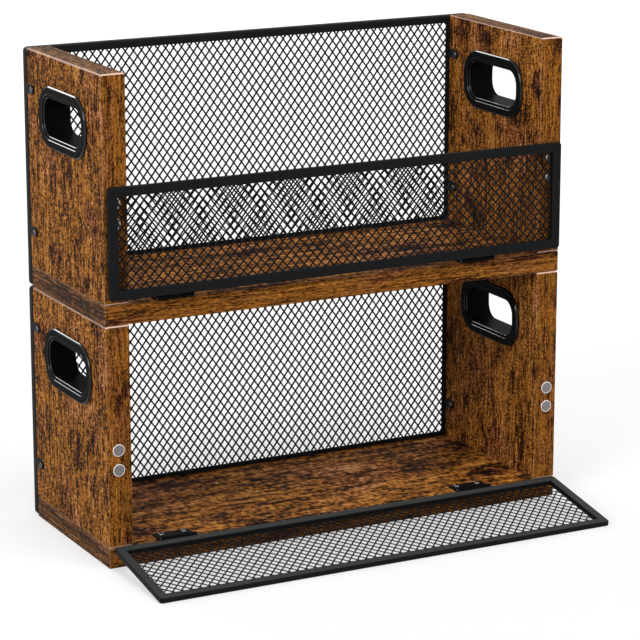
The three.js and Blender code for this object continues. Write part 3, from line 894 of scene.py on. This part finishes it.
# %% [markdown]
# ## Diamond mesh
# The mesh is expanded steel: a sheet is slit and pulled, and the slits open into diamonds. The
# strands between them twist as they are pulled, so each one leans out of the sheet, its upper edge to
# the back and its lower edge to the front. That lean is why strands glint in one light and vanish in
# another.
#
# A diamond's four corners lie on its neighbours' strands, and the gap inside is a smaller diamond.
# Between the two run the strands. So the net is built diamond by diamond: the knots where strands
# meet are shared, and each gap has its own four corners. At the border the diamonds are halved, and a
# closed rim goes round, which the frames hold.

# %% Make a net
NET_THICK = 0.6
LEAN = 0.12
STEPS = ((-1, 0), (0, -1), (1, 0), (0, 1))  # to a diamond's four corners
TOUCH = 0.001
X, Z = 0, 2


def diamond_net(half_u, half_v, middle_v, columns, rows, strand, rim, front):
    """A net with that many diamonds across and up, in (x, z), its front face at that depth."""
    mesh = bmesh.new()
    step_u, step_v = half_u / columns, half_v / rows
    reach = step_u * step_v / math.hypot(step_u, step_v)
    gap = 1 - strand / 2 / reach
    known = {}

    def both_faces(u, v, lean=0.0):
        """The front and rear vertex of a point."""
        depths = (front + lean, front + NET_THICK + lean)
        return [mesh.verts.new(across_y(u, v, depth) * MM) for depth in depths]

    def corner(key, column, row, lean=0.0):
        """The two vertices of a point, made once and then found again."""
        if key not in known:
            known[key] = both_faces(column * step_u - half_u, row * step_v - half_v + middle_v, lean)
        return known[key]

    def strip(*pairs):
        """A front face and the rear face behind it."""
        mesh.faces.new([pair[0] for pair in pairs])
        mesh.faces.new([pair[1] for pair in reversed(pairs)])

    def wall(one, other):
        """A face through the sheet's thickness, from one point to another."""
        mesh.faces.new((one[0], other[0], other[1], one[1]))

    def border(axis, side):
        """The points on one side of the net, where that coordinate is the side's, in order along it."""
        pairs = [pair for pair in known.values() if abs(pair[0].co[axis] / MM - side) < TOUCH]
        return sorted(pairs, key=lambda pair: pair[0].co[X if axis == Z else Z])

    for column in range(2 * columns + 1):
        at_side = column in (0, 2 * columns)
        for row in range(column % 2, 2 * rows + 1, 2):
            gaps, knots = [], []
            for step_column, step_row in STEPS:
                knot = (column + step_column, row + step_row)
                if not (0 <= knot[0] <= 2 * columns and 0 <= knot[1] <= 2 * rows):
                    gaps.append(None)
                    knots.append(None)
                    continue
                near = (column + step_column * gap, row + step_row * gap)
                lean = 0.0 if at_side else -step_row * LEAN
                gaps.append(corner((column, row, step_column, step_row), *near, lean))
                knots.append(corner(knot, *knot))
            for i in range(4):
                j = (i + 1) % 4
                if gaps[i] and gaps[j]:
                    strip(knots[i], knots[j], gaps[j], gaps[i])
                    wall(gaps[j], gaps[i])
            if gaps.count(None) == 1:
                missing = gaps.index(None)
                wall(gaps[(missing + 1) % 4], gaps[(missing - 1) % 4])
            elif None in gaps:
                middle = corner(("middle", column, row), column, row)
                first = next(i for i in range(4) if gaps[i] and gaps[(i + 1) % 4])
                wall(middle, gaps[(first + 1) % 4])
                wall(gaps[first], middle)

    # The rim is four strips, each from two outer corners back along one side of the net
    low, high = middle_v - half_v, middle_v + half_v
    chains = (
        reversed(border(Z, low)),
        reversed(border(X, half_u)),
        border(Z, high),
        border(X, -half_u),
    )
    outwards = ((-1, -1), (1, -1), (1, 1), (-1, 1))
    ends = [both_faces(u * (half_u + rim), middle_v + v * (half_v + rim)) for u, v in outwards]
    for i, chain in enumerate(chains):
        start, end = ends[i], ends[(i + 1) % 4]
        strip(start, end, *chain)
        wall(start, end)
    bmesh.ops.recalc_face_normals(mesh, faces=mesh.faces)
    return mesh


print("a net's strands lean by", LEAN, "mm to either side")

# %% [markdown]
# A net must end in whole or half diamonds, so their number is rounded to fit the frame, and their size
# follows. The rear net is welded behind the window, and tucks a little behind its edges.

# %% Make the rear nets
BACK_DIAMOND, BACK_STRAND = (8.4, 11.0), 1.55
BACK_TUCK, BACK_RIM = 2.2, 2.8

rear_half = (WINDOW_SIDE + BACK_TUCK, (WINDOW_HIGH - WINDOW_LOW) / 2 + BACK_TUCK)
rear_count = [round(2 * half / size) for half, size in zip(rear_half, BACK_DIAMOND)]
rear_middle, rear_front = (WINDOW_LOW + WINDOW_HIGH) / 2, BACK + SHEET + LEAN
for level in LEVELS:
    net = diamond_net(*rear_half, rear_middle, *rear_count, BACK_STRAND, BACK_RIM, rear_front)
    print(level, "rear net:", rear_count, "diamonds,", len(net.faces), "faces")
    keep_piece(net, level, "crate", "rear_net", "back_mesh", mesh_coat, "mesh_steel")

# %% [markdown]
# ## Doors
# The door's frame is four flat steel bars, mitred at the corners and welded to one another. At each
# corner the weld leaves a hairline along the mitre. Every bar has softly rounded edges, and a slot
# along its inner side holds the mesh.
#
# A bar is a section carried from one mitre to the next. Near its ends the outer part of the section
# follows the rounded corner, and the inner part just stops at the mitre. The last layer is drawn in a
# little, so that two bars meet in a fine groove.

# %% Draw a mitred bar
DOOR_TALL, DOOR_INSET, DOOR_THICK, DOOR_BAR = 104, 3, 5, 9
DOOR_RADIUS, DOOR_EASE = 2.8, 0.8
SLOT_HALF, SLOT_DEEP = 0.8, 3.8
MITRE_DRAW, MITRE_TURN = 0.22, math.radians(45)
CORNER_TURNS = [math.radians(angle) for angle in (45, 30, 15, 0)]
PIN_TO_INNER_SIDE, PIN_TO_LOW_EDGE = 0.5531, 2.7  # back along Y, and up along Z
PIN_Y, PIN_Z = pin_place.y / MM, pin_place.z / MM
DOOR_INNER_Y, DOOR_LOW = PIN_Y + PIN_TO_INNER_SIDE, PIN_Z + PIN_TO_LOW_EDGE
DOOR_MIDDLE = DOOR_LOW + DOOR_TALL / 2
HALF_LONG, HALF_TALL = SIDE - DOOR_INSET, DOOR_TALL / 2

middle = (DOOR_BAR / 2, DOOR_THICK / 2)
bar_section = rounded(*middle, *middle, DOOR_EASE, EDGE_STEPS) + [
    (DOOR_BAR, middle[1] - SLOT_HALF),
    (DOOR_BAR - SLOT_DEEP, middle[1] - SLOT_HALF),
    (DOOR_BAR - SLOT_DEEP, middle[1] + SLOT_HALF),
    (DOOR_BAR, middle[1] + SLOT_HALF),
]
drawn_in = [
    [at + MITRE_DRAW * (half - at) / half for at, half in zip(point, middle)]
    for point in bar_section
]


def mitred_bar(half_along, half_out, to_uv):
    """A bar of the door's frame; to_uv turns (along, outwards) into the door's (u, v)."""

    def station(sign, angle, section, back_off):
        """The section where the bar's outer edge has turned by an angle round its corner."""
        row = []
        for inset, depth in section:
            radius = max(DOOR_RADIUS - inset, 0)
            bow = radius * (1 - math.sin(angle))
            mitre = half_along - inset - radius * (1 - math.sin(MITRE_TURN))
            along = min(half_along - inset - bow, mitre - back_off)
            out = half_out - inset - radius * (1 - math.cos(angle))
            row.append(across_y(*to_uv(sign * along, out), DOOR_INNER_Y - DOOR_THICK + depth))
        return row

    rows = [station(-1, MITRE_TURN, drawn_in, 0)]
    rows += [station(-1, angle, bar_section, MITRE_DRAW) for angle in CORNER_TURNS]
    rows += [station(1, angle, bar_section, MITRE_DRAW) for angle in reversed(CORNER_TURNS)]
    rows += [station(1, MITRE_TURN, drawn_in, 0)]
    return skin_over(rows)


print("a bar's section has", len(bar_section), "points")

# %% [markdown]
# The two long bars and the two short ones are joined into one frame. Its faces on the door's inner
# side get the greyer coat, a painted sheen, and its net sits in the slot, in the middle of the bars.

# %% Make the doors
DOOR_DIAMOND, DOOR_STRAND, DOOR_RIM = (8.9, 9.6), 1.3, 3.4


def coat_inner_side_sheen(mesh):
    """Gives the greyer coat, a painted sheen, to the faces on the door's inner side."""
    mesh.normal_update()
    for face in mesh.faces:
        if face.normal.y > FLAT:
            face.material_index = 1


net_half = (HALF_LONG - DOOR_BAR, HALF_TALL - DOOR_BAR)
net_count = [round(2 * half / size) for half, size in zip(net_half, DOOR_DIAMOND)]
door_front = DOOR_INNER_Y - (DOOR_THICK + NET_THICK) / 2
for level in LEVELS:
    bars = joined(
        mitred_bar(HALF_LONG, HALF_TALL, lambda along, out: (along, DOOR_MIDDLE + out)),
        mitred_bar(HALF_LONG, HALF_TALL, lambda along, out: (along, DOOR_MIDDLE - out)),
        mitred_bar(HALF_TALL, HALF_LONG, lambda along, out: (out, DOOR_MIDDLE + along)),
        mitred_bar(HALF_TALL, HALF_LONG, lambda along, out: (-out, DOOR_MIDDLE + along)),
    )
    coat_inner_side_sheen(bars)
    bars = keep_piece(bars, level, "door", "door_bars", "door_frame", frame_coat, "frame_steel")
    bars.data.materials.append(inner_side_sheen_coat)
    net = diamond_net(*net_half, DOOR_MIDDLE, *net_count, DOOR_STRAND, DOOR_RIM, door_front)
    print(level, "door net:", net_count, "diamonds,", len(net.faces), "faces")
    keep_piece(net, level, "door", "door_net", "door_mesh", mesh_coat, "mesh_steel")

# %% [markdown]
# ## Hinges
# A butt hinge has two leaves whose knuckles take turns on one pin. Here the fixed leaf lies on the
# board and has the outer two knuckles. The other leaf is only a short foot with the middle knuckle. It
# is welded under the door's lower bar, which hides it. A knuckle is a rolled tube, so it is drawn as a
# ring: out along its outside and back through its bore. The pin is turned, with a low crowned head at
# each end.

# %% Draw a hinge's parts
HINGE_LONG, LEAF_EASE = 37, 0.3
BARREL, BORE, PIN, PIN_HEAD, PIN_HEAD_TALL = 2.2, 1.25, 1.1, 1.9, 0.8
PIN_GAP, PIN_CROWN, PIN_CROWN_IN = 0.05, 0.3, 0.5
KNUCKLE_GAP, KNUCKLE_EASE = 0.4, 0.25
KNUCKLE = (HINGE_LONG - 2 * KNUCKLE_GAP) / 3


def turned(section):
    """The layers of a shape turned round the pin's axis, from pairs of a radius and a place on X."""
    return [(circle(PIN_Y, PIN_Z, radius), x) for radius, x in section]


def knuckle(left, right):
    """A rolled tube on the pin's axis, its edges slightly rounded."""
    section = [
        (BORE, left),
        (BARREL - KNUCKLE_EASE, left),
        (BARREL, left + KNUCKLE_EASE),
        (BARREL, right - KNUCKLE_EASE),
        (BARREL - KNUCKLE_EASE, right),
        (BORE, right),
    ]
    return loft(turned(section), across_x, ring=True)


def leaf_plate(left, right, low, high, top, radius):
    """A flat leaf or foot up to a height, with rounded corners and slightly rounded edges."""
    outline_at = plain_rectangle(left, right, low, high, radius)
    return loft(eased(outline_at, top - LEAF, top, LEAF_EASE), across_z)


def pin_with_heads(middle_x):
    """A pin through three knuckles, with a low crowned head at each end."""
    seat = HINGE_LONG / 2 + PIN_GAP
    end = seat + PIN_HEAD_TALL
    half_pin = [(PIN, seat), (PIN_HEAD, seat), (PIN_HEAD, end - PIN_CROWN), (PIN_HEAD - PIN_CROWN_IN, end)]
    section = [(radius, middle_x - x) for radius, x in reversed(half_pin)]
    section += [(radius, middle_x + x) for radius, x in half_pin]
    return loft(turned(section), across_x)


print("a knuckle is", round(KNUCKLE, 2), "mm long")

# %% [markdown]
# The fixed leaf starts behind the barrel, so that the door's knuckle can turn. It reaches forward only
# at its own two knuckles, with a narrow tongue to each. Two screws hold it on the board.

# %% Make the hinges
HINGE_FROM_LEFT, HINGE_FROM_RIGHT = 69, 93
HINGE_X = {"left": HINGE_FROM_LEFT - SIDE, "right": SIDE - HINGE_FROM_RIGHT}
LEAF_TOP, LEAF_DEEP, LEAF_RADIUS, LEAF_CLEAR = BOARD + LEAF, 18, 2.5, 0.35
TONGUE, FOOT, FOOT_GAP = 5.5, 4, 0.05
SCREW_SPACING, SCREW_SETBACK = 23, 12
SCREW_TURN, NEXT_SCREW_TURN = 15, 41

leaf_front, leaf_rear = PIN_Y + BARREL + LEAF_CLEAR, FRONT + LEAF_DEEP
screw_count = 0
for level in LEVELS:
    for hand, middle_x in HINGE_X.items():
        left, right = middle_x - HINGE_LONG / 2, middle_x + HINGE_LONG / 2
        fixed = [leaf_plate(left, right, leaf_front, leaf_rear, LEAF_TOP, LEAF_RADIUS)]
        for start in (left, right - KNUCKLE):
            end = start + KNUCKLE
            fixed.append(leaf_plate(start, end, PIN_Y + BORE, FRONT + TONGUE, LEAF_TOP, LEAF_EASE))
            fixed.append(knuckle(start, end))
        names = (f"{hand}_hinge_board_leaf", f"{hand}_hinge_fixed_leaf")
        keep_piece(joined(*fixed), level, "crate", *names, hinge_coat, "hinge_steel")

        inner = (middle_x - KNUCKLE / 2, middle_x + KNUCKLE / 2)
        foot = leaf_plate(*inner, DOOR_INNER_Y - FOOT, DOOR_INNER_Y, DOOR_LOW - FOOT_GAP, LEAF_EASE)
        names = (f"{hand}_hinge_welded_leaf", f"{hand}_hinge_door_leaf")
        keep_piece(joined(foot, knuckle(*inner)), level, "door", *names, hinge_coat, "hinge_steel")

        names = (f"{hand}_hinge_rod", f"{hand}_hinge_pin")
        keep_piece(pin_with_heads(middle_x), level, "crate", *names, bolt_oxide, "hinge_steel")
        for number, offset in enumerate((-SCREW_SPACING / 2, SCREW_SPACING / 2), start=1):
            seat = (middle_x + offset, FRONT + SCREW_SETBACK, LEAF_TOP)
            screw = placed(screw_head, seat, (SCREW_TURN + NEXT_SCREW_TURN * screw_count, "Z"))
            names = (f"{hand}_hinge_board_screw_{number}", f"{hand}_hinge_screw_{number}")
            keep_piece(screw, level, "crate", *names, screw_oxide, "fastener_steel")
            screw_count += 1
print("hinges:", 2 * len(LEVELS), "with", screw_count, "screws")

# %% [markdown]
# ## Magnets
# Two round magnets sit in each front edge and hold the shut door. Each is a disc in a thin plated cup.
# The cup's lip is lighter, a painted highlight, and the disc's face darker, a painted shade, so the lip
# shows as a bright ring round a duller face. Cup and disc are turned shapes, each with its own metal.

# %% Make the magnets
MAGNET, MAGNET_LONG, LIP = 6.0, 4.0, 0.95
MAGNET_SET_IN, MAGNET_PROUD = 11, 0.85
MAGNET_DROP, MAGNET_SPACING = 15.5, 19
MAGNET_X, MAGNET_FACE = SIDE - MAGNET_SET_IN, FRONT - MAGNET_PROUD
MAGNET_HIGH = DOOR_LOW + DOOR_TALL - MAGNET_DROP
MAGNET_ZS = (MAGNET_HIGH - MAGNET_SPACING, MAGNET_HIGH)
CUP_SECTION = [  # how far in from the cup's side, and how far behind its front
    (0.0, MAGNET_LONG),
    (0.0, 0.35),
    (0.12, 0.12),
    (0.35, 0.0),
    (LIP - 0.1, 0.0),
    (LIP, 0.1),
    (LIP, MAGNET_LONG),
]
DISC_SECTION = [
    (LIP + 0.05, MAGNET_LONG - 0.2),
    (LIP + 0.05, 0.45),
    (LIP + 0.25, 0.25),
]
MAGNET_PARTS = (  # name, section, metal, and whether it is a ring
    ("cup", CUP_SECTION, magnet_rim_painted_highlight, True),
    ("disc", DISC_SECTION, magnet_face_painted_shade, False),
)

for level in LEVELS:
    for hand, way in HANDS:
        for height, z in zip(LEVELS, MAGNET_ZS):
            node = f"{hand}_{height}_magnet"
            for name, section, metal, ring in MAGNET_PARTS:
                layers = [
                    (circle(way * MAGNET_X, z, MAGNET - inwards), MAGNET_FACE + behind)
                    for inwards, behind in section
                ]
                shape = loft(layers, across_y, ring)
                keep_piece(shape, level, "crate", f"{node}_{name}", node, metal, "magnet_nickel")
print("magnets:", 4 * len(LEVELS))

# %% [markdown]
# ## Floor, world and lamps
# The tower stands on a seamless white floor. Lamps and world light it plainly, so that a colour looks
# about as it is written, and the floor would then be light grey. What the camera and mirror rays see
# of it is lifted to white by a glow that lights nothing, and the shadow stays. The lamps reach less of
# the floor far away, so the glow is stronger there.

# %% Make the stage
FLOOR_HALF = 30
FLOOR_PAINT, WHITE = "#BDBDBD", "#FFFFFF"
GLOW = {"From Min": 1.2, "From Max": 5.0, "To Min": 0.46, "To Max": 0.74}  # metres away, and how strong


def seen_by_eye(tree):
    """1 for rays of the camera, of reflections and through glass, and 0 for those that carry light."""
    ray = add(tree, "ShaderNodeLightPath").outputs
    looks = {0: ray["Is Camera Ray"], 1: ray["Is Glossy Ray"]}
    mirrored = add(tree, "ShaderNodeMath", looks, operation="ADD")
    looks = {0: mirrored, 1: ray["Is Transmission Ray"]}
    return add(tree, "ShaderNodeMath", looks, operation="ADD", use_clamp=True)


studio_floor, tree = new_material("white studio floor")
spot = add(tree, "ShaderNodeNewGeometry").outputs["Position"]
away = add(tree, "ShaderNodeVectorMath", {0: spot}, operation="LENGTH").outputs["Value"]
reach = add(tree, "ShaderNodeMapRange", {"Value": away, **GLOW})
strength = add(tree, "ShaderNodeMath", {0: seen_by_eye(tree), 1: reach}, operation="MULTIPLY")
paint = add(tree, "ShaderNodeBsdfDiffuse", {"Color": linear(FLOOR_PAINT)})
glow = add(tree, "ShaderNodeEmission", {"Color": linear(WHITE), "Strength": strength})
both = add(tree, "ShaderNodeAddShader", {0: paint, 1: glow})
add(tree, "ShaderNodeOutputMaterial", {"Surface": both})

floor_data = bpy.data.meshes.new("studio_floor")
corners = [(FLOOR_HALF * u, FLOOR_HALF * v, 0) for u, v in ((-1, -1), (1, -1), (1, 1), (-1, 1))]
floor_data.from_pydata(corners, [], [(0, 1, 2, 3)])
floor_data.materials.append(studio_floor)
studio = bpy.data.objects.new("studio_floor", floor_data)
bpy.context.scene.collection.objects.link(studio)
studio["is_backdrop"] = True
print("floor:", 2 * FLOOR_HALF, "m square")

# %% [markdown]
# The world gives an even light from all sides, and white behind the tower. Four broad lamps add the
# shape: a strong one on the left, a weak one on the right, one above, and one behind, which draws the
# bright lines along the handles' polished rims.

# %% Light the tower
WORLD_LIGHT = 0.55

world = bpy.data.worlds.new("studio air")
world.use_nodes = True
tree = world.node_tree
tree.nodes.clear()
air = {"Value": seen_by_eye(tree), "To Min": WORLD_LIGHT, "To Max": 1.0}
brightness = add(tree, "ShaderNodeMapRange", air)
sky = add(tree, "ShaderNodeBackground", {"Color": linear(WHITE), "Strength": brightness})
add(tree, "ShaderNodeOutputWorld", {"Surface": sky})
bpy.context.scene.world = world

target = Vector((0, 0, CRATE_HEIGHT * MM))
LAMPS = (  # name, place in metres, width and height in metres, power in watts
    ("key", (-4.6, -2.4, 2.9), 2.6, 2.6, 154),
    ("fill", (3.8, -3.5, 2.25), 3.2, 3.2, 41),
    ("top", (0.3, -1.9, 4.5), 2.6, 2.6, 72),
    ("rear", (-0.5, 4.5, 2.7), 2.0, 1.6, 97),
)
for name, place, width, height, power in LAMPS:
    lamp = bpy.data.lights.new(name, "AREA")
    lamp.shape = "RECTANGLE"
    lamp.size = width
    lamp.size_y = height
    lamp.energy = power
    holder = bpy.data.objects.new(name, lamp)
    holder.visible_camera = False
    holder.location = place
    holder.rotation_euler = (target - holder.location).to_track_quat("-Z", "Y").to_euler()
    bpy.context.scene.collection.objects.link(holder)
bpy.context.scene.view_settings.view_transform = "Standard"
print("lamps:", ", ".join(lamp[0] for lamp in LAMPS))

# %% [markdown]
# ## The sizes
# The dressed tower must be as large as the imported model, so both boxes are printed.

# %% Print the sizes
visual_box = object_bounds()
for name, box in (("packed model", cad_box), ("dressed tower", visual_box)):
    print(name, [round((high - low) / MM, 2) for low, high in zip(*box)], "mm")
